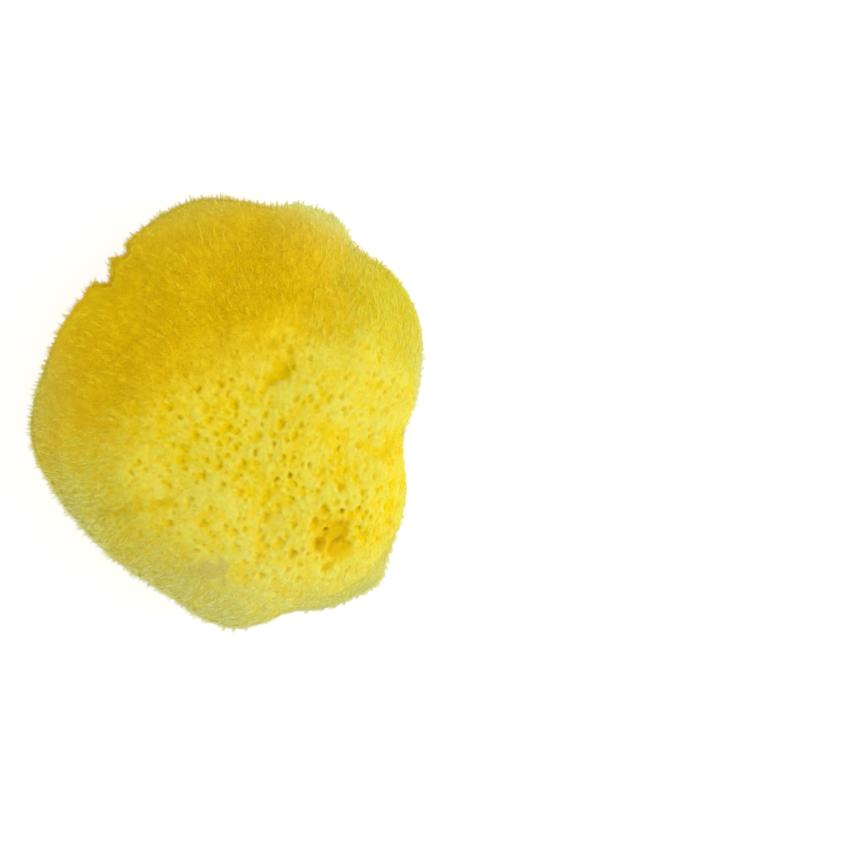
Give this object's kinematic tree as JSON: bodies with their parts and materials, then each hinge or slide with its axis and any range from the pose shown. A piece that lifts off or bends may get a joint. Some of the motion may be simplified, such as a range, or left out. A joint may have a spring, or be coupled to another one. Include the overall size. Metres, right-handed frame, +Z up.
{
  "type": "natural sea sponge",
  "caption": "Natural silk bath sponge: a lumpy, leaning dome of soft yellow fibre with fine pores on its top, resting on its flat cut base.",
  "frame": {"origin": "middle of the sponge's outline seen from above, on the plane of its cut base", "axes": "+Z up, out of the cut base towards the pored top; +Y along the longest way across, +X along the width, as the picture shows them up and right"},
  "size_m": [0.0918, 0.1004, 0.0585],
  "materials": {
    "spongin": "matte"
  },
  "bodies": {
    "root": {"sponge": "spongin"}
  },
  "joints": []
}
